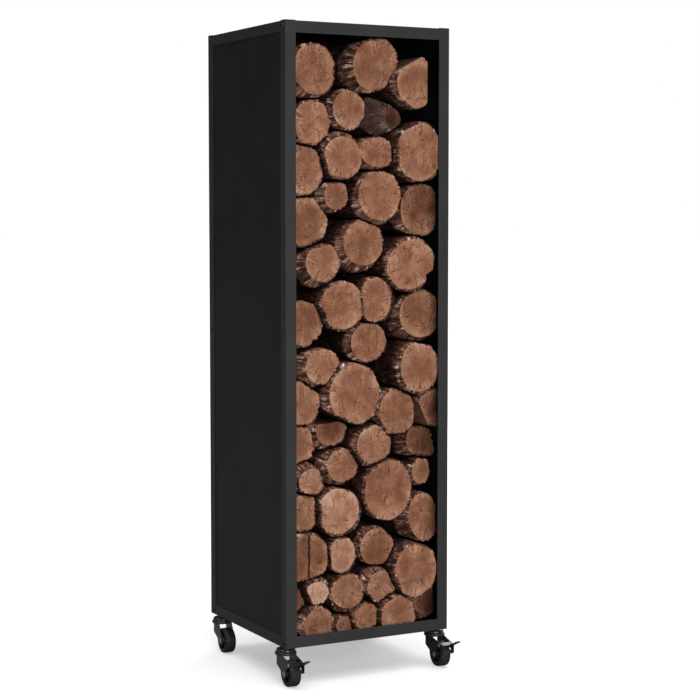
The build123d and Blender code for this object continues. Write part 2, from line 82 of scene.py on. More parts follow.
class Nodes:
    """The nodes of a material or of the room."""

    def __init__(self, owner):
        owner.use_nodes = True
        self.tree = owner.node_tree

    def add(self, kind, settings, sockets, output=0):
        node = self.tree.nodes.new(kind)
        for key, value in settings.items():
            if key == "stops":
                marks = node.color_ramp.elements
                marks[0].position, marks[1].position = value[0][0], value[-1][0]
                for position, colour in value[1:-1]:
                    marks.new(position)
                for mark, (position, colour) in zip(marks, value):
                    mark.color = (*colour, 1)
            else:
                setattr(node, key, value)
        self.feed(node, sockets)
        return Value(self, node.outputs[output])

    def feed(self, node, sockets):
        for key, value in sockets.items():
            if isinstance(value, Value):
                self.tree.links.new(value.socket, node.inputs[key])
            else:
                node.inputs[key].default_value = value


class Finish(Nodes):
    """A material whose surface is built from nodes. The fixed values sit on the shader."""

    def __init__(self, name, fixed):
        self.material = bpy.data.materials.new(name)
        super().__init__(self.material)
        self.shader = self.tree.nodes["Principled BSDF"]
        self.feed(self.shader, fixed)

    def place(self, scale=(1, 1, 1), moved=(0, 0, 0)):
        where = self.add("ShaderNodeTexCoord", {}, {}, "Object")
        return self.add(
            "ShaderNodeMapping", {}, {"Vector": where, "Scale": scale, "Location": moved}
        )

    def grain(self, where, size, detail=3.0, roughness=0.55):
        """Noise from 0 to 1 with features of that size, in metres."""
        return self.add(
            "ShaderNodeTexNoise",
            {},
            {"Vector": where, "Scale": 1 / size, "Detail": detail, "Roughness": roughness},
        )

    def ramp(self, value, stops):
        return self.add("ShaderNodeValToRGB", {"stops": stops}, {"Fac": value})

    def span(self, value, low, high, start=0.0, end=1.0):
        """The value's range from low to high, eased onto start to end."""
        return self.add(
            "ShaderNodeMapRange",
            {"interpolation_type": "SMOOTHSTEP"},
            {"Value": value, 1: low, 2: high, 3: start, 4: end},
        )

    def bump(self, height, depth, strength=1.0):
        self.feed(
            self.shader,
            {"Normal": self.add(
                "ShaderNodeBump", {}, {"Height": height, "Distance": depth, "Strength": strength}
            )},
        )


def seen_apart(nodes, seen, unseen, end):
    """Shows the camera one shader, and every other ray another."""
    camera_ray = nodes.add("ShaderNodeLightPath", {}, {}, "Is Camera Ray")
    mix = nodes.add("ShaderNodeMixShader", {}, {0: camera_ray, 1: unseen, 2: seen})
    nodes.feed(nodes.tree.nodes[end], {"Surface": mix})


scene = bpy.context.scene
scene.view_settings.view_transform = "Standard"

floor_paint = Finish("studio_floor_paint", {
    "Base Color": (0.60, 0.60, 0.60, 1), "Roughness": 0.9, "Specular IOR Level": 0.1,
    "Emission Color": (1.0, 0.985, 0.96, 1), "Emission Strength": 0.42})
dim_floor = floor_paint.add("ShaderNodeBsdfDiffuse", {}, {"Color": (0.26, 0.26, 0.26, 1)})
bright_floor = Value(floor_paint, floor_paint.shader.outputs[0])
seen_apart(floor_paint, bright_floor, dim_floor, "Material Output")
ground = bmesh.new()
bmesh.ops.create_circle(ground, cap_ends=True, segments=96, radius=60.0)
floor_mesh = bpy.data.meshes.new("studio_floor")
ground.to_mesh(floor_mesh)
ground.free()
floor_mesh.materials.append(floor_paint.material)
studio_floor = bpy.data.objects.new("studio_floor", floor_mesh)
scene.collection.objects.link(studio_floor)

# The room is white where it is looked at, and gives the rack only a faint even light.
room = bpy.data.worlds.new("studio_room")
scene.world = room
room_nodes = Nodes(room)
faint = room_nodes.tree.nodes["Background"]
room_nodes.feed(faint, {"Color": (1, 1, 1, 1), "Strength": 0.11})
white = room_nodes.add("ShaderNodeBackground", {}, {"Color": (1, 1, 1, 1), "Strength": 1.0})
seen_apart(room_nodes, white, Value(room_nodes, faint.outputs[0]), "World Output")

high_light = bpy.data.lights.new("high_light", "SUN")
high_light.energy = 3.4
high_light.angle = math.radians(75)
high_lamp = bpy.data.objects.new("high_light", high_light)
high_lamp.rotation_euler = (math.radians(8), 0, 0)
scene.collection.objects.link(high_lamp)

for name, place, aim, power in (
    ("front_panel", (-0.5, -3.9, 1.1), (0.0, -0.17, 0.50), 104),
    ("rear_panel", (2.8, 2.4, 1.6), (0.17, 0.17, 0.62), 45),
):
    panel = bpy.data.lights.new(name, "AREA")
    panel.shape = "RECTANGLE"
    panel.size, panel.size_y = 2.2, 2.4
    panel.energy = power
    lamp = bpy.data.objects.new(name, panel)
    lamp.location = place
    lamp.rotation_euler = (Vector(aim) - Vector(place)).to_track_quat("-Z", "Y").to_euler()
    lamp.visible_camera = False
    scene.collection.objects.link(lamp)

lens = bpy.data.cameras.new("studio_camera")
lens.lens = 91.17
lens.sensor_width = 36.0
lens.shift_y = -0.02
lens.clip_end = 200.0
studio_camera = bpy.data.objects.new("studio_camera", lens)
studio_camera.location = (-1.6065, -3.1129, 0.8882)
studio_camera.rotation_euler = (math.radians(90 - 3.988), 0, math.radians(-28.06))
scene.collection.objects.link(studio_camera)
scene.camera = studio_camera


# ------------------------------------------------------------------ welded frame
# Four corner posts and eight rails of thin steel angle, with their edges knocked off before
# welding. The weld seams are dressed flat, and all of it is powder-coated satin black.
def powder_coat(name, dark, pale, sheen, gloss):
    """Satin black powder: a fine orange peel, a little uneven in gloss, with faint dust."""
    coat = Finish(name, {"IOR": 1.45, "Specular IOR Level": gloss})
    peel = coat.grain(coat.place(), 0.0016, 2.0)
    cloud = coat.grain(coat.place(), 0.11, 4.0)
    dust = coat.span(coat.grain(coat.place(moved=(3, 1, 2)), 0.006, 5.0), 0.60, 0.78)
    tone = coat.span(cloud, 0.3, 0.7) * 0.8 + dust * 0.15
    coat.feed(coat.shader, {
        "Base Color": coat.ramp(tone, [(0.0, dark), (1.0, pale)]),
        "Roughness": sheen + (cloud - 0.5) * 0.12 + (peel - 0.5) * 0.10 + dust * 0.05,
    })
    coat.bump(peel + cloud * 2.0, 0.00006, 0.6)
    return coat.material


frame_coat = powder_coat(
    "frame_powder_coat", (0.0255, 0.0255, 0.025), (0.033, 0.0325, 0.032), 0.50, 0.18)


def shade(mesh, angle):
    mesh.shade_smooth()
    mesh.set_sharp_from_angle(angle=math.radians(angle))


def softened(node, name, edge, finish, body):
    """A copy of a CAD piece with its flats cleared of stray edges and its corners eased."""
    shell = bmesh.new()
    shell.from_mesh(nodes[node].data)
    bmesh.ops.remove_doubles(shell, verts=shell.verts, dist=1e-6)
    bmesh.ops.dissolve_limit(
        shell, angle_limit=math.radians(1.0), verts=shell.verts, edges=shell.edges
    )
    corners = [e for e in shell.edges if e.is_manifold and e.calc_face_angle(0) > math.radians(35)]
    bmesh.ops.bevel(
        shell, geom=corners, offset=edge, offset_type="OFFSET", segments=2, profile=0.5,
        affect="EDGES", clamp_overlap=True,
    )
    bmesh.ops.triangulate(shell, faces=[f for f in shell.faces if len(f.verts) > 4])
    mesh = bpy.data.meshes.new(name)
    shell.to_mesh(mesh)
    shell.free()
    shade(mesh, 12)
    mesh.materials.clear()
    mesh.materials.append(finish)
    piece = bpy.data.objects.new(name, mesh)
    scene.collection.objects.link(piece)
    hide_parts(node)
    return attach(piece, body)


for node in nodes:
    if node.startswith(("post_", "rail_")):
        softened(node, f"frame_{node}", 0.00040, frame_coat, "rack")

# ------------------------------------------------------------------ sheets
# Five panels of 1 mm steel, folded where they meet and coated like the frame, but in a darker base
# colour: painted shade for the side and inner panels. A thin panel this large is never quite flat,
# so its coat shows a long faint wave.
# The same satin black as the frame, made darker as painted shade.
shaded_sheet_coat = powder_coat(
    "sheet_powder_coat_painted_shade", (0.010, 0.010, 0.010), (0.017, 0.017, 0.0168), 0.50, 0.14)
for node in ("sheet_left", "sheet_right", "sheet_back", "sheet_roof", "sheet_floor"):
    nodes[node].data.materials.clear()
    nodes[node].data.materials.append(shaded_sheet_coat)

# ------------------------------------------------------------------ side bolts and nuts
# Button-head bolts with hexagon sockets, M5, blackened, hold the sheets to the posts from the
# sides. Each one ends in a nut inside the bay.
def islands(node):
    """The lowest and highest corners of each separate solid in a CAD node."""
    shell = bmesh.new()
    shell.from_mesh(nodes[node].data)
    bmesh.ops.remove_doubles(shell, verts=shell.verts, dist=1e-6)
    left, found = set(shell.verts), []
    while left:
        edge, group = [left.pop()], []
        while edge:
            vert = edge.pop()
            group.append(vert.co.copy())
            for link in vert.link_edges:
                other = link.other_vert(vert)
                if other in left:
                    left.remove(other)
                    edge.append(other)
        found.append((
            Vector(min(co[i] for co in group) for i in range(3)),
            Vector(max(co[i] for co in group) for i in range(3)),
        ))
    shell.free()
    return found


def turned(name, outline, middle=(0, 0, 0), along=(1, 0, 0), steps=48, flats=None, angle=40):
    """A solid turned on a lathe. Its outline is (reach along the axis, radius) in mm, and ends
    where it starts, or on the axis. flats gives the rings that are hexagons."""
    shell = bmesh.new()
    axis = Vector(along)
    across = axis.orthogonal().normalized()
    up = axis.cross(across)
    rings = []
    for number, (reach, radius) in enumerate(outline):
        centre = Vector(middle) + axis * reach / 1000
        if radius < 1e-6:
            rings.append([shell.verts.new(centre)])
            continue
        ring = []
        for step in range(steps):
            bearing = 2 * math.pi * step / steps
            wide = radius / 1000
            if flats and number in flats:
                wide /= math.cos(bearing % (math.pi / 3) - math.pi / 6)
            ring.append(shell.verts.new(
                centre + (across * math.cos(bearing) + up * math.sin(bearing)) * wide
            ))
        rings.append(ring)
    pairs = list(zip(rings, rings[1:]))
    if len(rings[0]) > 1:
        pairs.append((rings[-1], rings[0]))
    for low, high in pairs:
        for step in range(steps):
            after = (step + 1) % steps
            corners = [low[step % len(low)], low[after % len(low)],
                       high[after % len(high)], high[step % len(high)]]
            shell.faces.new(list(dict.fromkeys(corners)))
    bmesh.ops.recalc_face_normals(shell, faces=shell.faces)
    mesh = bpy.data.meshes.new(name)
    shell.to_mesh(mesh)
    shell.free()
    shade(mesh, angle)
    piece = bpy.data.objects.new(name, mesh)
    scene.collection.objects.link(piece)
    return piece


def set_out(name, part, places, finish, sizes=None):
    """Sets copies of a part at its places, each (point, turn about Z), by Geometry Nodes. With
    sizes, (count, circle radius), each place gets a ring of them."""
    tree = bpy.data.node_groups.new(name, "GeometryNodeTree")
    tree.interface.new_socket("Places", in_out="INPUT", socket_type="NodeSocketGeometry")
    for label, kind in (
        ("Part", "NodeSocketObject"), ("Finish", "NodeSocketMaterial"),
        ("Count", "NodeSocketInt"), ("Circle Radius", "NodeSocketFloat"),
    ):
        tree.interface.new_socket(label, in_out="INPUT", socket_type=kind)
    tree.interface.new_socket("Set Out", in_out="OUTPUT", socket_type="NodeSocketGeometry")

    def node(kind, links=(), **settings):
        made = tree.nodes.new(kind)
        for key, value in settings.items():
            setattr(made, key, value)
        for target, source in links:
            tree.links.new(source, made.inputs[target])
        return made

    given = node("NodeGroupInput").outputs
    part_in = node("GeometryNodeObjectInfo", [("Object", given["Part"])])
    made = part_in.outputs["Geometry"]
    if sizes:
        ring = node("GeometryNodeMeshCircle", [
            ("Vertices", given["Count"]), ("Radius", given["Circle Radius"])])
        spot = node("GeometryNodeInputPosition")
        bearing = node("FunctionNodeAlignRotationToVector", [("Vector", spot.outputs[0])], axis="X")
        made = node("GeometryNodeInstanceOnPoints", [
            ("Points", ring.outputs["Mesh"]), ("Instance", made),
            ("Rotation", bearing.outputs["Rotation"])]).outputs["Instances"]
    turn = node("GeometryNodeInputNamedAttribute", data_type="FLOAT")
    turn.inputs["Name"].default_value = "turn"
    spin = node("ShaderNodeCombineXYZ", [("Z", turn.outputs["Attribute"])])
    made = node("GeometryNodeInstanceOnPoints", [
        ("Points", given["Places"]), ("Instance", made), ("Rotation", spin.outputs[0])])
    made = node("GeometryNodeRealizeInstances", [("Geometry", made.outputs["Instances"])])
    made = node("GeometryNodeSetMaterial", [
        ("Geometry", made.outputs["Geometry"]), ("Material", given["Finish"])])
    node("NodeGroupOutput", [("Set Out", made.outputs["Geometry"])])

    spots = bpy.data.meshes.new(name + "_places")
    spots.from_pydata([tuple(point) for point, turn in places], [], [])
    spots.attributes.new("turn", "FLOAT", "POINT").data.foreach_set(
        "value", [turn for point, turn in places])
    holder = bpy.data.objects.new(name + "_places", spots)
    scene.collection.objects.link(holder)
    modifier = holder.modifiers.new("set_out", "NODES")
    modifier.node_group = tree
    values = {"Part": part, "Finish": finish}
    if sizes:
        values.update({"Count": sizes[0], "Circle Radius": sizes[1]})
    for item in tree.interface.items_tree:
        if item.in_out == "INPUT" and item.name in values:
            modifier[item.identifier] = values[item.name]
    bpy.context.view_layer.update()
    mesh = bpy.data.meshes.new_from_object(
        holder.evaluated_get(bpy.context.evaluated_depsgraph_get()))
    holder.modifiers.clear()
    bpy.data.objects.remove(holder)
    bpy.data.objects.remove(part)
    mesh.name = name
    if "turn" in mesh.attributes:
        mesh.attributes.remove(mesh.attributes["turn"])
    piece = bpy.data.objects.new(name, mesh)
    scene.collection.objects.link(piece)
    return piece


def black_oxide(name, tone):
    """Blackened steel, with the metal showing a little on the high spots."""
    steel = Finish(name, {"Metallic": 1.0})
    speck = steel.grain(steel.place(), 0.0009, 3.0)
    steel.feed(steel.shader, {
        "Base Color": steel.ramp(speck, [(0.3, tone), (0.75, tuple(2.2 * c for c in tone))]),
        "Roughness": 0.34 + (speck - 0.5) * 0.25,
    })
    steel.bump(speck, 0.00003, 0.5)
    return steel.material


bolt_steel = black_oxide("blackened_bolt_steel", (0.035, 0.034, 0.034))
bolt_boxes = islands("side_bolts")
bolt_reach = (bolt_boxes[0][1].x - bolt_boxes[0][0].x) * 1000
head = 3.0  # height of a head, which stands on the post's outer face
thread = [(head - bolt_reach + 0.4, 2.1)]
for crest in range(15):
    back = head - bolt_reach + 0.9 + crest * 0.72
    thread += [(back, 2.48), (back + 0.36, 2.12)]
bolt = turned("bolt", [
    (head - bolt_reach, 0), (head - bolt_reach, 1.8), *thread, (-0.3, 2.45), (0, 2.6), (0, 4.8),
    (0.35, 5.0), (0.8, 4.97), (1.5, 4.6), (2.2, 3.9), (2.75, 3.0), (2.95, 2.3), (3.0, 1.75),
    (2.8, 1.5), (1.4, 1.5), (1.2, 0.9), (1.0, 0)], steps=36, flats=(44, 45), angle=35)
bolt_places = []
for low, high in bolt_boxes:
    left = low.x < 0
    bolt_places.append((
        (low.x + head / 1000 if left else high.x - head / 1000, (low.y + high.y) / 2,
         (low.z + high.z) / 2), math.pi if left else 0.0))
side_bolts = set_out("side_bolts_black", bolt, bolt_places, bolt_steel)
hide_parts("side_bolts")
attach(side_bolts, "rack")

nut = turned("nut", [
    (0.0, 2.52), (0.0, 3.75), (0.35, 4.0), (3.65, 4.0), (4.0, 3.75), (4.0, 2.8), (3.7, 2.52)],
    steps=36, flats=(2, 3), angle=25)
nut_places = []
for low, high in islands("side_nuts"):
    left = low.x < 0
    nut_places.append((
        (low.x if left else high.x, (low.y + high.y) / 2, (low.z + high.z) / 2),
        0.0 if left else math.pi))
side_nuts = set_out("side_nuts_black", nut, nut_places, bolt_steel)
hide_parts("side_nuts")
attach(side_nuts, "rack")

# ------------------------------------------------------------------ caster stems and nuts
# Zinc-plated stems with a hexagon neck that bears on the rail, a thread up through the floor
# into a nut, and a pin under the neck that carries the races and is riveted over the crown.
zinc = Finish("zinc_plate", {"Metallic": 1.0})
zinc_cloud = zinc.grain(zinc.place(), 0.004, 4.0)
zinc_scratch = zinc.grain(zinc.place(scale=(1, 6, 6)), 0.0016, 2.0)
zinc.feed(zinc.shader, {
    "Base Color": zinc.ramp(zinc_cloud, [(0.25, (0.42, 0.41, 0.39)), (0.75, (0.66, 0.66, 0.65))]),
    "Roughness": 0.26 + (zinc_cloud - 0.5) * 0.2 + (zinc_scratch - 0.5) * 0.12,
})
zinc.bump(zinc_scratch, 0.00002, 0.5)

corners = ("front_left", "front_right", "rear_left", "rear_right")
stem_low, stem_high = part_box("caster_stems")
rail_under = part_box("rail_bottom_left")[0].z
stem_places = [
    ((pivots[f"{corner}_swivel"].x, pivots[f"{corner}_swivel"].y, rail_under), 0.3 * number)
    for number, corner in enumerate(corners)
]
top_reach = (stem_high.z - rail_under) * 1000
foot = (stem_low.z - rail_under) * 1000
pitch = 1.25  # of the M8 thread
turns = []
for crest in range(int(top_reach / pitch) - 1):
    turns += [(0.4 + crest * pitch, 3.55), (1.0 + crest * pitch, 3.98)]
stem = turned("stem", [
    (foot, 0), (foot, 5.2), (foot + 0.5, 6.4), (foot + 1.2, 6.95), (foot + 1.9, 6.7),
    (foot + 2.0, 3.98), (-4.5, 3.98), (-4.5, 6.1), (-4.1, 6.5), (-0.4, 6.5), (0.0, 6.2),
    (0.0, 3.98), *turns, (top_reach - 0.5, 3.9), (top_reach, 3.2), (top_reach, 0)],
    along=(0, 0, 1), steps=36, flats=(8, 9), angle=30)
stems = set_out("caster_stems_zinc", stem, stem_places, zinc.material)
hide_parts("caster_stems")
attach(stems, "rack")

nut_low, nut_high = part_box("caster_nuts")
tall = (nut_high.z - nut_low.z) * 1000
stem_nut = turned("stem_nut", [
    (0.0, 4.02), (0.0, 6.1), (0.5, 6.5), (tall - 0.5, 6.5), (tall, 6.1), (tall, 4.5),
    (tall - 0.4, 4.02)], along=(0, 0, 1), steps=36, flats=(2, 3), angle=25)
stem_nuts = set_out("caster_nuts_zinc", stem_nut, [
    ((place[0], place[1], nut_low.z), turn) for place, turn in stem_places], zinc.material)
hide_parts("caster_nuts")
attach(stem_nuts, "rack")

# ------------------------------------------------------------------ races and balls
# A pressed steel race, black, holds a ring of twelve loose balls over each fork's crown, and
# its lip keeps the dirt out of them.
caster_black = Finish("caster_black_paint", {"IOR": 1.5, "Specular IOR Level": 0.42})
paint_cloud = caster_black.grain(caster_black.place(), 0.012, 4.0)
paint_peel = caster_black.grain(caster_black.place(), 0.0012, 2.0)
caster_black.feed(caster_black.shader, {
    "Base Color": caster_black.ramp(paint_cloud, [
        (0.3, (0.010, 0.010, 0.011)), (0.8, (0.020, 0.020, 0.021))]),
    "Roughness": 0.33 + (paint_cloud - 0.5) * 0.22,
    "Coat Weight": 0.25 + (paint_cloud - 0.5) * 0.3,
})
caster_black.bump(paint_peel, 0.00003, 0.5)

race_low, race_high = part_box("caster_races")
deep = (race_high.z - race_low.z) * 1000
race = turned("race", [
    (deep, 4.0), (deep, 15.6), (deep - 0.5, 16.9), (deep - 1.5, 17.8), (deep - 2.0, 18.0),
    (0.2, 18.0), (0.0, 17.8), (0.0, 16.7), (0.2, 16.5), (deep - 3.5, 16.5), (deep - 3.5, 14.3),
    (deep - 3.1, 13.8), (deep - 3.1, 11.2), (deep - 3.5, 10.7), (deep - 3.5, 4.0)],
    along=(0, 0, 1), steps=64, angle=35)
races = set_out("caster_races_black", race, [
    ((place[0], place[1], race_low.z), turn) for place, turn in stem_places],
    caster_black.material)
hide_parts("caster_races")
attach(races, "rack")

ball_steel = Finish("polished_ball_steel", {"Metallic": 1.0})
ball_smear = ball_steel.grain(ball_steel.place(), 0.002, 3.0)
ball_steel.feed(ball_steel.shader, {
    "Base Color": ball_steel.ramp(ball_smear, [(0.3, (0.5, 0.49, 0.47)), (0.7, (0.7, 0.7, 0.69))]),
    "Roughness": 0.12 + (ball_smear - 0.5) * 0.1,
})
ball_low, ball_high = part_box("caster_balls")
ball_radius = (ball_high.z - ball_low.z) / 2
ball_circle = ball_high.x - pivots["front_right_swivel"].x - ball_radius
ball = bmesh.new()
bmesh.ops.create_icosphere(ball, subdivisions=3, radius=ball_radius * 0.995)
ball_mesh = bpy.data.meshes.new("ball")
ball.to_mesh(ball_mesh)
ball.free()
ball_mesh.shade_smooth()
ball_part = bpy.data.objects.new("ball", ball_mesh)
scene.collection.objects.link(ball_part)
balls = set_out("caster_balls_steel", ball_part, [
    ((place[0], place[1], (ball_low.z + ball_high.z) / 2), 0.0) for place, turn in stem_places],
    ball_steel.material, (12, ball_circle))
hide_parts("caster_balls")
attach(balls, "rack")

# ------------------------------------------------------------------ forks and axles
# Forks pressed from 2 mm steel, painted black: a round skirted crown and two legs that trail
# to a tubular zinc axle with rolled heads. The front ones also reach up to the brake's pin.
for corner in corners:
    softened(f"fork_{corner}", f"caster_fork_{corner}", 0.00045, caster_black.material,
             f"swivel_{corner}")
    low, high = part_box(f"axle_{corner}")
    half = (high.x - low.x) * 500
    middle = (low + high) / 2
    axle = turned(f"caster_axle_{corner}", [
        (-half + 0.25, 1.7), (-half, 2.1), (-half + 0.05, 3.6), (-half + 0.5, 4.8),
        (-half + 1.1, 5.22), (-half + 1.48, 5.1), (-half + 1.5, 3.0), (half - 1.5, 3.0),
        (half - 1.48, 5.1), (half - 1.1, 5.22), (half - 0.5, 4.8), (half - 0.05, 3.6),
        (half, 2.1), (half - 0.25, 1.7)], middle=middle, steps=48)
    axle.data.materials.append(zinc.material)
    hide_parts(f"axle_{corner}")
    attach(axle, f"swivel_{corner}")

# ------------------------------------------------------------------ wheels and tyres
# Moulded black nylon wheels with a ribbed web between hub and rim, and a rubber tyre with a
# crowned tread, a parting line round its middle and a groove in each wall.
nylon = Finish("black_nylon", {"IOR": 1.5})
nylon_flow = nylon.grain(nylon.place(), 0.005, 4.0)
nylon.feed(nylon.shader, {
    "Base Color": nylon.ramp(nylon_flow, [
        (0.3, (0.008, 0.008, 0.008)), (0.8, (0.016, 0.016, 0.016))]),
    "Roughness": 0.40 + (nylon_flow - 0.5) * 0.2,
})
nylon.bump(nylon.grain(nylon.place(), 0.0007, 2.0), 0.00002, 0.6)

rubber = Finish("black_tyre_rubber", {"IOR": 1.5, "Specular IOR Level": 0.40})
rubber_scuff = rubber.grain(rubber.place(), 0.003, 6.0, 0.65)
rubber.feed(rubber.shader, {
    "Base Color": rubber.ramp(rubber_scuff, [
        (0.3, (0.008, 0.008, 0.008)), (0.8, (0.022, 0.0215, 0.021))]),
    "Roughness": 0.55 + (rubber_scuff - 0.5) * 0.3,
})
rubber.bump(rubber_scuff, 0.00008, 0.6)

rib_count = 6
for corner in corners:
    hub = pivots[f"{corner}_roll"]
    low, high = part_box(f"tyre_{corner}")
    tyre = turned(f"caster_tyre_{corner}", [
        (-10.0, 19.0), (-10.0, 20.4), (-9.6, 20.8), (-9.6, 21.4), (-10.0, 21.8), (-10.0, 22.8),
        (-9.6, 23.9), (-8.6, 24.6), (-6.0, 24.85), (-3.0, 24.95), (-0.35, 24.97), (0.0, 25.0),
        (0.35, 24.97), (3.0, 24.95), (6.0, 24.85), (8.6, 24.6), (9.6, 23.9), (10.0, 22.8),
        (10.0, 21.8), (9.6, 21.4), (9.6, 20.8), (10.0, 20.4), (10.0, 19.0)],
        middle=((low.x + high.x) / 2, hub.y, hub.z), steps=96)
    tyre.data.materials.append(rubber.material)
    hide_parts(f"tyre_{corner}")
    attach(tyre, f"roller_{corner}")

    half = (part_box(f"wheel_{corner}")[1].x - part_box(f"wheel_{corner}")[0].x) * 500
    core = turned(f"caster_wheel_{corner}", [
        (-half, 3.05), (-half, 5.9), (-half + 0.6, 6.5), (-3.2, 6.9), (-2.2, 7.8), (-2.0, 9.0),
        (-2.0, 14.9), (-2.5, 16.0), (-3.6, 16.5), (-9.6, 16.7), (-10.0, 17.1), (-10.0, 18.6),
        (-9.6, 18.98), (9.6, 18.98), (10.0, 18.6), (10.0, 17.1), (9.6, 16.7), (3.6, 16.5),
        (2.5, 16.0), (2.0, 14.9), (2.0, 9.0), (2.2, 7.8), (3.2, 6.9), (half - 0.6, 6.5),
        (half, 5.9), (half, 3.05)], middle=hub, steps=72)
    # Six ribs on each side of the web, wider where they leave it, and higher at the hub.
    ribs = bmesh.new()
    ribs.from_mesh(core.data)
    for number in range(rib_count):
        bearing = 2 * math.pi * number / rib_count
        out = Vector((0, math.cos(bearing), math.sin(bearing)))
        aside = Vector((0, -math.sin(bearing), math.cos(bearing)))
        for side in (-1, 1):
            ends = []
            for reach, lift in ((6.2, 8.4), (16.9, 6.6)):
                section = ((-1.0, 1.5), (1.0, 1.5), (0.65, lift), (-0.65, lift))
                ends.append([
                    ribs.verts.new(hub + out * reach / 1000 + aside * wide / 1000
                                   + Vector((side * deep / 1000, 0, 0)))
                    for wide, deep in section])
            near, far = ends
            rib_faces = [ribs.faces.new(near), ribs.faces.new(far)]
            for k in range(4):
                rib_faces.append(ribs.faces.new((near[k], near[k - 3], far[k - 3], far[k])))
            bmesh.ops.recalc_face_normals(ribs, faces=rib_faces)
    ribs.to_mesh(core.data)
    ribs.free()
    shade(core.data, 40)
    core.data.materials.append(nylon.material)
    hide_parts(f"wheel_{corner}")
    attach(core, f"roller_{corner}")

# ------------------------------------------------------------------ foot brakes
# A rocker of 1.5 mm steel on a riveted pin between the front forks' legs. A lever on its plate
# swings the rubber pad on its lower end against the tread.
for corner in ("front_left", "front_right"):
    softened(f"brake_pedal_{corner}", f"brake_pedal_black_{corner}", 0.00035,
             caster_black.material, f"brake_{corner}")
    softened(f"brake_pad_{corner}", f"brake_pad_rubber_{corner}", 0.00040, rubber.material,
             f"brake_{corner}")
    low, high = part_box(f"brake_pin_{corner}")
    half = (high.x - low.x) * 500
    pin = turned(f"brake_pin_zinc_{corner}", [
        (-half, 0), (-half, 2.2), (-half + 0.3, 3.1), (-half + 0.7, 3.45), (-half + 0.98, 3.4),
        (-half + 1.0, 1.98), (half - 1.0, 1.98), (half - 0.98, 3.4), (half - 0.7, 3.45),
        (half - 0.3, 3.1), (half, 2.2), (half, 0)], middle=(low + high) / 2, steps=36)
    pin.data.materials.append(zinc.material)
    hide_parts(f"brake_pin_{corner}")
    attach(pin, f"swivel_{corner}")

# ------------------------------------------------------------------ logs
# Round logs of a reddish softwood with stringy bark, sawn to 300 mm and stacked with their cut
# ends to the front. Each rests against its neighbours, and no two outlines are the same.
bark = Finish("stringy_bark", {"Specular IOR Level": 0.25})
grown = bark.add("ShaderNodeAttribute", {"attribute_name": "grown"}, {}, "Vector")
fibre_place = bark.add("ShaderNodeMapping", {}, {"Vector": grown, "Scale": (1, 0.10, 1)})
strand_place = bark.add("ShaderNodeMapping", {}, {
    "Vector": grown, "Scale": (1, 0.18, 1), "Location": (1, 2, 3)})
fibre = bark.grain(fibre_place, 0.0017, 4.0, 0.6)
strand = bark.grain(strand_place, 0.0060, 3.0, 0.6)
patch = bark.grain(bark.place(moved=(5, 1, 2)), 0.022, 3.0)
torn = bark.span(bark.grain(bark.place(moved=(2, 7, 1)), 0.014, 4.0, 0.7), 0.52, 0.66)
# The bark keeps its colour near the sawn end and turns darker further back, less so in some
# patches: painted shade for the deep gaps between the logs.
from_end = bark.add("ShaderNodeSeparateXYZ", {}, {0: grown}, 1)
painted_gap_shade = bark.span(from_end, 0.003, 0.032) * bark.span(patch, 0.36, 0.60, 1.0, 0.6)
bark_tone = bark.span(strand, 0.3, 0.72) * 0.42 + bark.span(fibre, 0.32, 0.72) * 0.40
bark_tone = bark_tone + (patch - 0.5) * 0.55 + torn * bark.span(fibre, 0.44, 0.60) * 0.50
# Painted shade: darker bark the further it lies back from the sawn end.
bark_tone = bark_tone * (1 - painted_gap_shade * 0.58)
weathered = bark.add("ShaderNodeAttribute", {"attribute_name": "weathered"}, {}, "Fac")
red_bark = bark.ramp(bark_tone, [
    (0.0, (0.005, 0.002, 0.0015)), (0.24, (0.034, 0.012, 0.008)), (0.44, (0.135, 0.052, 0.031)),
    (0.64, (0.31, 0.165, 0.108)), (0.86, (0.66, 0.52, 0.42)), (1.0, (0.80, 0.72, 0.64))])
grey_bark = bark.ramp(bark_tone, [
    (0.0, (0.009, 0.004, 0.003)), (0.32, (0.080, 0.039, 0.030)), (0.60, (0.20, 0.125, 0.10)),
    (1.0, (0.55, 0.47, 0.40))])
bark.feed(bark.shader, {
    "Base Color": bark.add("ShaderNodeMix", {"data_type": "RGBA"}, {
        0: weathered, 6: red_bark, 7: grey_bark}, 2),
    "Roughness": 0.78 + (fibre - 0.5) * 0.3,
})
bark.bump(strand * 0.7 + fibre * 0.5, 0.0012, 0.9)

wood = Finish("sawn_wood", {"Specular IOR Level": 0.22})
spot = wood.add("ShaderNodeUVMap", {"uv_map": "face"}, {})
log_size = wood.add("ShaderNodeAttribute", {"attribute_name": "log_radius"}, {}, "Fac")
log_tone = wood.add("ShaderNodeAttribute", {"attribute_name": "log_tone"}, {}, "Fac")
checked = wood.add("ShaderNodeAttribute", {"attribute_name": "checked"}, {}, "Fac")
outward = wood.add("ShaderNodeVectorMath", {"operation": "LENGTH"}, {0: spot}, "Value")
across = wood.add("ShaderNodeSeparateXYZ", {}, {0: spot}, 0)
up = wood.add("ShaderNodeSeparateXYZ", {}, {0: spot}, 1)
warp = wood.grain(wood.place(moved=(6, 1, 4)), 0.020, 3.0)
blotch = wood.grain(wood.place(), 0.030, 4.0, 0.6)
cloud = wood.grain(wood.place(scale=(1.6, 1, 0.8), moved=(7, 3, 1)), 0.050, 3.0)
fine = wood.grain(wood.place(moved=(4, 2, 1)), 0.0020, 4.0, 0.65)
saw = wood.grain(wood.place(scale=(1.0, 1, 0.10), moved=(9, 2, 1)), 0.0022, 3.0)
wander = wood.grain(wood.place(moved=(1, 8, 2)), 0.016, 2.0)
ring_width = 0.0036
rings = wood.add("ShaderNodeMath", {"operation": "SINE"}, {
    0: (outward * log_size + (wander - 0.5) * 0.008) * (2 * math.pi / ring_width)})
safe = outward + 0.02  # never zero at the heart
ray_place = wood.add("ShaderNodeCombineXYZ", {}, {
    0: across / safe * 6.0, 1: up / safe * 6.0, 2: outward * 0.9 + log_tone * 9.0})
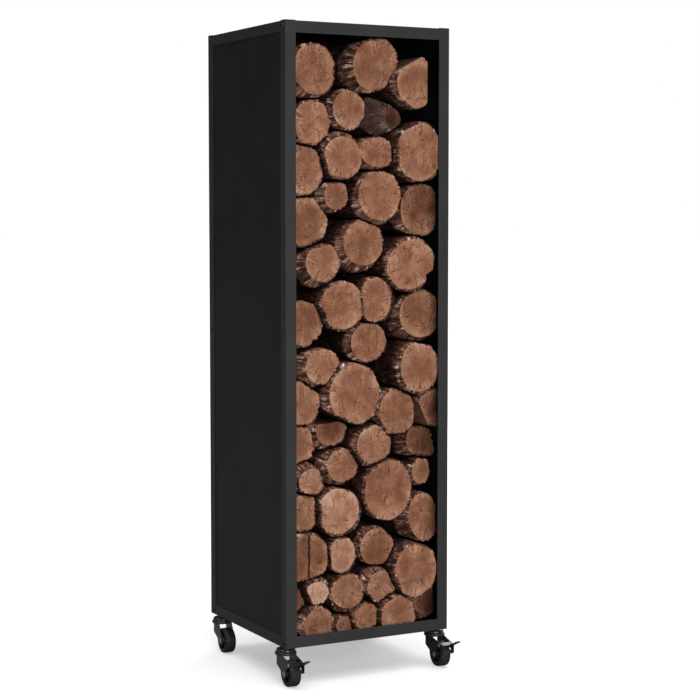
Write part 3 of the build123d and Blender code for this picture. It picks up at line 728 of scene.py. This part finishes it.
rays = wood.add("ShaderNodeTexNoise", {}, {"Vector": ray_place, "Scale": 2.2, "Detail": 4.0})
check_place = wood.add("ShaderNodeCombineXYZ", {}, {
    0: across / safe * 1.5, 1: up / safe * 1.5,
    2: outward * 0.5 + log_tone * 31.0 + log_size * 90.0})
check_line = wood.add("ShaderNodeTexNoise", {}, {
    "Vector": check_place, "Scale": 1.6, "Detail": 1.5})
off_line = wood.add("ShaderNodeMath", {"operation": "ABSOLUTE"}, {0: check_line - 0.5})
checks = (1 - wood.span(off_line, 0.0, 0.020)) * wood.span(blotch, 0.48, 0.56)
checks = checks * wood.span(outward, 0.1, 0.4)
beside = wood.add("ShaderNodeMath", {"operation": "ABSOLUTE"}, {0: across + (wander - 0.5) * 0.16})
checks = checks * 0.8 + checked * (1 - wood.span(beside, 0.012, 0.055)) * 1.6
# Hair cracks and arcs follow the edges of the patches where sap and heart meet.
arc = wood.add("ShaderNodeMath", {"operation": "ABSOLUTE"}, {0: warp + outward * 0.32 - 0.68})
arcs = (1 - wood.span(arc, 0.0, 0.016)) * wood.span(cloud, 0.45, 0.56)
heart = 1 - wood.span(outward * 0.9 + (cloud - 0.5) * 1.9, 0.10, 0.85)
heart = heart * wood.span(log_tone, -0.9, 0.5, 1.0, 0.35)
sap = wood.span(outward + (warp - 0.5) * 0.9, 0.60, 0.95)
rim = wood.span(outward, 0.80, 0.93)
patchy = wood.span(blotch, 0.30, 0.70, -0.5, 0.5)
smear = wood.span(cloud, 0.36, 0.64, -0.5, 0.5)
wood_tone = (0.655 + log_tone * 0.22 - heart * 0.20 + sap * 0.06 + patchy * 0.22 + smear * 0.08
             + rings * 0.016 + (fine - 0.5) * 0.42 + (saw - 0.5) * 0.22
             + (rays - 0.5) * wood.span(outward, 0.2, 0.7) * (0.06 + sap * 0.30)
             + rim * (0.05 + (fine - 0.5) * 0.30) - checks * 0.38 - arcs * 0.36)
wood.feed(wood.shader, {
    "Base Color": wood.ramp(wood_tone, [
        (0.0, (0.012, 0.005, 0.003)), (0.26, (0.075, 0.026, 0.014)), (0.44, (0.165, 0.062, 0.032)),
        (0.60, (0.245, 0.104, 0.056)), (0.76, (0.34, 0.165, 0.098)), (1.0, (0.50, 0.31, 0.21))]),
    "Roughness": 0.74 + (fine - 0.5) * 0.2,
})
wood.bump(fine * 0.5 + saw * 0.3 + rays * 0.6 - checks * 1.5 - arcs, 0.0008, 0.9)

# Across, up: how far the sawn face leans off the log's middle, in mm. Then half its width and
# height, its turn in degrees, and its tone, from -1 for dark to 1 for pale. Left to right.
faces = {
    "logs_row_01": [(4, -5, 32, 32, 0, -0.1), (2, 1, 19, 18, 0, 0.0), (-3, 6, 27, 26, 0, 0.0),
                    (0, -6, 40, 38, 0, 0.1), (-9, 9, 28, 28, 0, -0.7)],
    "logs_row_02": [(-5, -4, 21, 22, 0, -0.5), (-8, -10, 25, 23, 0, 1.3), (-5, 5, 35, 33, 0, 0.1),
                    (0, -11, 31, 31, 0, 0.1), (-8, -1, 48, 53, 0, 0.0)],
    "logs_row_03": [(-3, -11, 45, 45, 0, -0.3), (-10, 6, 28, 35, 0, 0.7),
                    (-8, -4, 36, 36, 0, -0.1)],
    "logs_row_04": [(-1, -5, 30, 38, 0, 0.1), (-11, 7, 44, 44, 0, 0.6), (-3, 3, 34, 48, 10, 0.0)],
    "logs_row_05": [(7, -11, 27, 26, 0, 0.5), (6, 6, 34, 33, 0, 0.1), (-3, 3, 50, 58, 0, 0.0),
                    (-7, 7, 20, 28, 0, 0.1)],
    "logs_row_06": [(-8, 2, 34, 38, 0, 0.1), (1, 6, 33, 29, 10, -0.3), (6, 3, 37, 37, 0, 0.1),
                    (-3, 3, 37, 30, -8, -0.6)],
    "logs_row_07": [(-9, 12, 40, 41, 0, 0.2), (8, -2, 55, 57, 0, -0.1), (4, -1, 41, 42, 0, -0.1),
                    (6, 3, 36, 38, 0, -0.4)],
    "logs_row_08": [(23, 4, 36, 34, 0, 0.3), (-4, 0, 38, 38, 0, 0.0), (-3, 9, 42, 49, 0, 0.2)],
    "logs_row_09": [(-7, 9, 42, 42, 0, -0.2), (-3, 1, 45, 45, 0, 0.0), (-23, 3, 34, 43, 0, 0.1),
                    (-6, 9, 46, 46, 0, 0.0)],
    "logs_row_10": [(-7, 0, 46, 47, 0, -0.1), (6, 6, 36, 36, 0, 0.1), (3, 12, 43, 44, 0, 0.0),
                    (-10, 0, 57, 46, 28, 0.1)],
    "logs_row_11": [(-10, 11, 45, 46, 0, 0.0), (0, 4, 27, 27, 0, 0.0), (5, 8, 47, 47, 0, 0.0),
                    (-6, 1, 44, 50, 0, -0.4)],
    "logs_row_12": [(3, 3, 38, 43, 0, 0.1), (0, -8, 40, 40, 0, 0.1), (-1, 4, 35, 29, -8, -0.1),
                    (-4, 4, 50, 56, 0, 0.0)],
    "logs_row_13": [(4, 5, 42, 48, 8, 0.0), (-1, 0, 37, 37, 0, 0.0), (14, -2, 19, 22, 30, -0.9)],
    "log_top_middle": [(12, 5, 45, 49, 0, 0.0)],
    "log_top_right": [(0, -3, 40, 50, 0, 0.1)],
}
# Flats where a log was split, as its row, its number, the flat's bearing and distance in mm.
splits = [("log_top_right", 0, 0, 26), ("log_top_right", 0, 118, 37), ("logs_row_06", 1, 95, 16),
          ("logs_row_07", 3, 205, 26)]
# Hollows in the outline: row, number, bearing, share of the radius and half-width in degrees.
dents = [("logs_row_10", 3, -30, 0.26, 16), ("logs_row_13", 1, -38, 0.12, 14),
         ("log_top_middle", 0, -40, 0.10, 12), ("logs_row_10", 1, 150, 0.09, 12),
         ("logs_row_07", 1, 28, 0.06, 10), ("logs_row_02", 2, 205, 0.07, 14),
         ("logs_row_09", 1, 200, 0.06, 12), ("logs_row_12", 3, -120, 0.05, 20)]
# Logs whose bark has weathered grey, and one with a long check through its heart.
greys = [("logs_row_13", 2)]
cracked = [("logs_row_03", 0)]
# Ends that were cut at a slant: row, number, bearing, start in mm, and slope.
slants = [("log_top_middle", 0, 205, -2, 0.30), ("log_top_middle", 0, -75, 12, 0.35),
          ("logs_row_13", 1, 20, 12, 0.35), ("logs_row_12", 2, 150, -4, 0.35),
          ("logs_row_07", 2, 80, 2, 0.18), ("logs_row_06", 3, 70, -5, 0.45),
          ("logs_row_10", 3, 10, 18, 0.22), ("logs_row_13", 2, 60, -40, 0.30)]

steel = 0.0010  # thickness of the sheets
bay_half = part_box("sheet_floor")[1].x - steel
bay_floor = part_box("sheet_floor")[0].z + steel
bay_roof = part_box("sheet_roof")[1].z - steel
play = 0.0010  # kept free inside the front frame, where a log comes out
post_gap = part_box("rail_top_front")[1].x - play
rail_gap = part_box("rail_top_front")[0].z - play
rail_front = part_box("rail_top_front")[0].y
nut_corner = Vector((stem_places[1][0][0] - 0.0076, stem_high.z))
clear = 0.0006  # between a log and the steel
drift = 550  # mm to the right for each metre that a face stands back

logs = []
for node, rows in faces.items():
    boxes = sorted(islands(node), key=lambda box: box[0].x + box[1].x)
    for number, ((low, high), face) in enumerate(zip(boxes, rows)):
        lean_x, lean_z, wide, tall, turn, tone = face
        lean_x += (low.y - rail_front) * drift
        logs.append({
            "node": node, "number": number, "free": node.startswith("log_top"), "tone": tone,
            "x": (low.x + high.x) / 2 + lean_x / 1000, "z": (low.z + high.z) / 2 + lean_z / 1000,
            "wide": wide / 1000, "tall": tall / 1000, "turn": math.radians(turn),
            "lean": (-lean_x / 1000, -lean_z / 1000), "round": (high.x - low.x) / 2,
            "front": low.y, "back": high.y, "seed": 17.3 * len(logs) + 3.1,
        })


def sawn_reach(log, bearing):
    """How far a log's oval face reaches at a bearing."""
    along = bearing - log["turn"]
    return log["wide"] * log["tall"] / np.hypot(
        log["tall"] * np.cos(along), log["wide"] * np.sin(along))


def reach(log, bearing):
    """How far the whole log reaches from its face's middle: its barrel, or the face's bark."""
    dx, dz = log["lean"]
    ahead = dx * np.cos(bearing) + dz * np.sin(bearing)
    aside = -dx * np.sin(bearing) + dz * np.cos(bearing)
    barrel = ahead + np.sqrt(log["round"] ** 2 - aside ** 2)
    return np.maximum(sawn_reach(log, bearing) * 1.02 + 0.0016, barrel)


steps = 112
bearings = np.linspace(0, 2 * math.pi, steps, endpoint=False)


def outline(log):
    """The log's outline over its bark, inside what its neighbours and the bay leave it."""
    uneven = np.array([
        noise.fractal(Vector((math.cos(b) * 0.9, math.sin(b) * 0.9, log["seed"])), 0.9, 2.0, 3)
        for b in bearings])
    limits = [reach(log, bearings) * (1 + 0.055 * uneven)]

    def flat(bearing, distance):
        facing = np.cos(bearings - bearing)
        limits.append(np.where(facing > 0.02, distance / np.maximum(facing, 0.02), 1.0))

    for other in logs:
        dx, dz = other["x"] - log["x"], other["z"] - log["z"]
        apart = math.hypot(dx, dz)
        if other is log or apart > 0.16:
            continue
        toward = math.atan2(dz, dx)
        own, its = reach(log, toward), reach(other, toward + math.pi)
        flat(toward, own + (apart - own - its) / 2 - 0.0004)
    free = log["free"]
    across_limit = post_gap - clear if free else bay_half - clear
    flat(0.0, across_limit - log["x"])
    flat(math.pi, across_limit + log["x"])
    flat(-math.pi / 2, log["z"] - bay_floor - clear)
    flat(math.pi / 2, (rail_gap if free else bay_roof - clear) - log["z"])
    for side in (-1, 1):
        dx, dz = side * nut_corner.x - log["x"], nut_corner.y - log["z"]
        if math.hypot(dx, dz) < 0.1:
            flat(math.atan2(dz, dx), math.hypot(dx, dz) - 0.0008)
    splitting = np.zeros(steps, bool)
    before = np.min(limits, axis=0)
    for node, number, bearing, distance in splits:
        if node == log["node"] and number == log["number"]:
            flat(math.radians(bearing), distance / 1000)
            splitting |= limits[-1] < before
    # Where two limits meet, the outline turns in a soft curve.
    sharpness = 900.0
    together = np.array(limits)
    least = together.min(axis=0)
    soft = least - np.log(np.exp(-sharpness * (together - least)).sum(axis=0)) / sharpness
    for node, number, bearing, share, width in dents:
        if node == log["node"] and number == log["number"]:
            off = np.angle(np.exp(1j * (bearings - math.radians(bearing)))) / math.radians(width)
            soft = soft * (1 - share * np.exp(-off * off))
    return soft, splitting


def make_log(log, shell):
    """Adds one log: its sawn face, its bark from front to back, and its rear face."""
    skin, splitting = outline(log)
    verts, quads, kinds = shell["verts"], shell["quads"], shell["kinds"]
    start = len(verts)
    seed, x, z = log["seed"], log["x"], log["z"]
    mean = float(skin.mean())
    here = (log["node"], log["number"])
    cos, sin = np.cos(bearings), np.sin(bearings)
    pith = [noise.noise(Vector((seed, k, 0))) * mean * 0.35 for k in (1, 5)]
    lean = (0.040 * noise.noise(Vector((seed, 0, 4))) - 0.010,
            0.045 * noise.noise(Vector((seed, 0, 9))))
    thick = np.array([
        0.0023 + 0.0030 * noise.noise(Vector((math.cos(b) * 1.6, math.sin(b) * 1.6, seed + 40)))
        for b in bearings])
    thick = np.where(splitting, 0.0004, np.clip(thick, 0.0008, 0.0050))
    tattered = np.array([
        max(0.0, noise.fractal(Vector((math.cos(b) * 6, math.sin(b) * 6, seed + 70)), 0.8, 2.0, 3))
        for b in bearings]) * 0.005
    cut = [(math.radians(s[2]), s[3] / 1000, s[4]) for s in slants if s[:2] == here]
    slack = (abs(lean[0]) + abs(lean[1])) * 0.06

    def face_y(px, pz):
        y = log["front"] + slack + lean[0] * px + lean[1] * pz
        for bearing, begin, slope in cut:
            y += slope * max(0.0, px * math.cos(bearing) + pz * math.sin(bearing) - begin)
        rough = noise.fractal(Vector((px * 70, pz * 70, seed)), 0.8, 2.0, 3)
        return y + abs(rough) * (0.0012 if cut else 0.0003)

    marks = {"tones": log["tone"], "sizes": mean, "greys": 1.0 if here in greys else 0.0,
             "checks": 1.0 if here in cracked else 0.0}

    def add_point(px, y, pz, grown):
        verts.append((x + px, y, z + pz))
        shell["spots"].append(((px - pith[0]) / mean, (pz - pith[1]) / mean))
        shell["grown"].append(grown)
        for key, value in marks.items():
            shell[key].append(value)

    def add_ring(radii, depth, along, front=True):
        for index in range(steps):
            px, pz = cos[index] * radii[index], sin[index] * radii[index]
            add_point(px, face_y(px, pz) + depth[index] if front else depth[index], pz,
                      (cos[index] * mean + seed, along[index], sin[index] * mean))

    def relief(along):
        """How deep the bark's furrows are at each bearing, that far along the log."""
        found = np.empty(steps)
        for index in range(steps):
            a, c = cos[index], sin[index]
            ridge = 0.5 + 0.5 * noise.fractal(Vector((
                a * mean / 0.0065, along[index] / 0.045, c * mean / 0.0065 + seed)), 0.7, 2.1, 3)
            flake = noise.noise(Vector((a * 2.6, along[index] / 0.03, c * 2.6 + seed)))
            found[index] = min(max(ridge, 0), 1) * 0.0026 + max(0.0, flake) * 0.0022
        return np.where(splitting, found * 0.3, found)

    add_point(0, face_y(0, 0), 0, (seed, 0, 0))
    none = np.zeros(steps)
    edge = skin - relief(none)
    nick = np.array([
        noise.fractal(Vector((a * 7, c * 7, seed + 11)), 0.7, 2.0, 3) for a, c in zip(cos, sin)])
    inner = np.minimum(sawn_reach(log, bearings) * (1 + 0.012 * nick), edge - thick)
    for share in (0.16, 0.34, 0.52, 0.68, 0.82, 0.92, 0.975):
        add_ring(inner * share, none, none)
    add_ring(inner, none + 0.0003, none)
    wood_rings = (len(verts) - start - 1) // steps
    # The bark falls back from the sawn face to the barrel, the more the wider it shows.
    band = np.maximum(edge - thick - inner, 0.0)
    fall = band * 1.15
    for share in (0.12, 0.36, 0.62, 0.86):
        radii = inner + (edge - inner) * share
        along = band * share * 1.5
        dip = relief(along) * min(1.0, 2.5 * (1 - share)) * np.clip(band / 0.006, 0, 1)
        add_ring(radii, tattered * min(1, share * 3) + fall * share + dip * 0.7 + 0.0009, along)
    add_ring(edge - 0.0003, tattered + fall + 0.0010, band * 1.5)
    front_edge = np.array([
        face_y(cos[i] * skin[i], sin[i] * skin[i]) + tattered[i] + fall[i] + 0.0012
        for i in range(steps)])
    # Rings 2 mm apart where the bark shows, and 10.5 mm apart behind.
    path = [0.0020 * k for k in range(1, 20)] + [0.038 + 0.0105 * k for k in range(1, 22)]
    for distance in path:
        share = distance / path[-1]
        y = front_edge + (log["back"] - 0.0008 - front_edge) * share
        along = band * 1.5 + distance
        add_ring(skin - relief(along), y, along, front=False)
    last = skin - relief(band * 1.5 + path[-1])
    rear = np.full(steps, log["back"])
    for radii in (last - 0.0008, last - thick - 0.0008, (last - thick) * 0.5):
        add_ring(radii, rear, none, front=False)
    rings_made = (len(verts) - start - 1) // steps
    for index in range(steps):
        after = (index + 1) % steps
        quads.append((start, start + 1 + index, start + 1 + after))
        kinds.append(1)
        for ring in range(rings_made - 1):
            a, b = start + 1 + ring * steps, start + 1 + (ring + 1) * steps
            quads.append((a + index, b + index, b + after, a + after))
            cut_side = splitting[index] and splitting[after]
            kinds.append(1 if ring < wood_rings - 1 or cut_side or ring >= rings_made - 2 else 0)
    add_point(0, log["back"], 0, (seed, 0, 0))
    end, tail = len(verts) - 1, start + 1 + (rings_made - 1) * steps
    for index in range(steps):
        quads.append((end, tail + (index + 1) % steps, tail + index))
        kinds.append(1)


for node in faces:
    shell = {key: [] for key in (
        "verts", "quads", "kinds", "spots", "grown", "tones", "sizes", "greys", "checks")}
    for log in logs:
        if log["node"] == node:
            make_log(log, shell)
    name = f"sawn_{node}"
    mesh = bpy.data.meshes.new(name)
    mesh.from_pydata(shell["verts"], [], shell["quads"])
    mesh.materials.append(bark.material)
    mesh.materials.append(wood.material)
    mesh.polygons.foreach_set("material_index", shell["kinds"])
    layer = mesh.uv_layers.new(name="face")
    loop_verts = np.zeros(len(mesh.loops), np.int32)
    mesh.loops.foreach_get("vertex_index", loop_verts)
    layer.uv.foreach_set("vector", np.array(shell["spots"], np.float32)[loop_verts].ravel())
    for label, key in (
        ("log_tone", "tones"), ("log_radius", "sizes"), ("weathered", "greys"),
        ("checked", "checks"),
    ):
        mesh.attributes.new(label, "FLOAT", "POINT").data.foreach_set("value", shell[key])
    mesh.attributes.new("grown", "FLOAT_VECTOR", "POINT").data.foreach_set(
        "vector", np.array(shell["grown"], np.float32).ravel())
    shade(mesh, 50)
    piece = bpy.data.objects.new(name, mesh)
    scene.collection.objects.link(piece)
    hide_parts(node)
    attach(piece, "rack" if node.startswith("logs_row") else node)
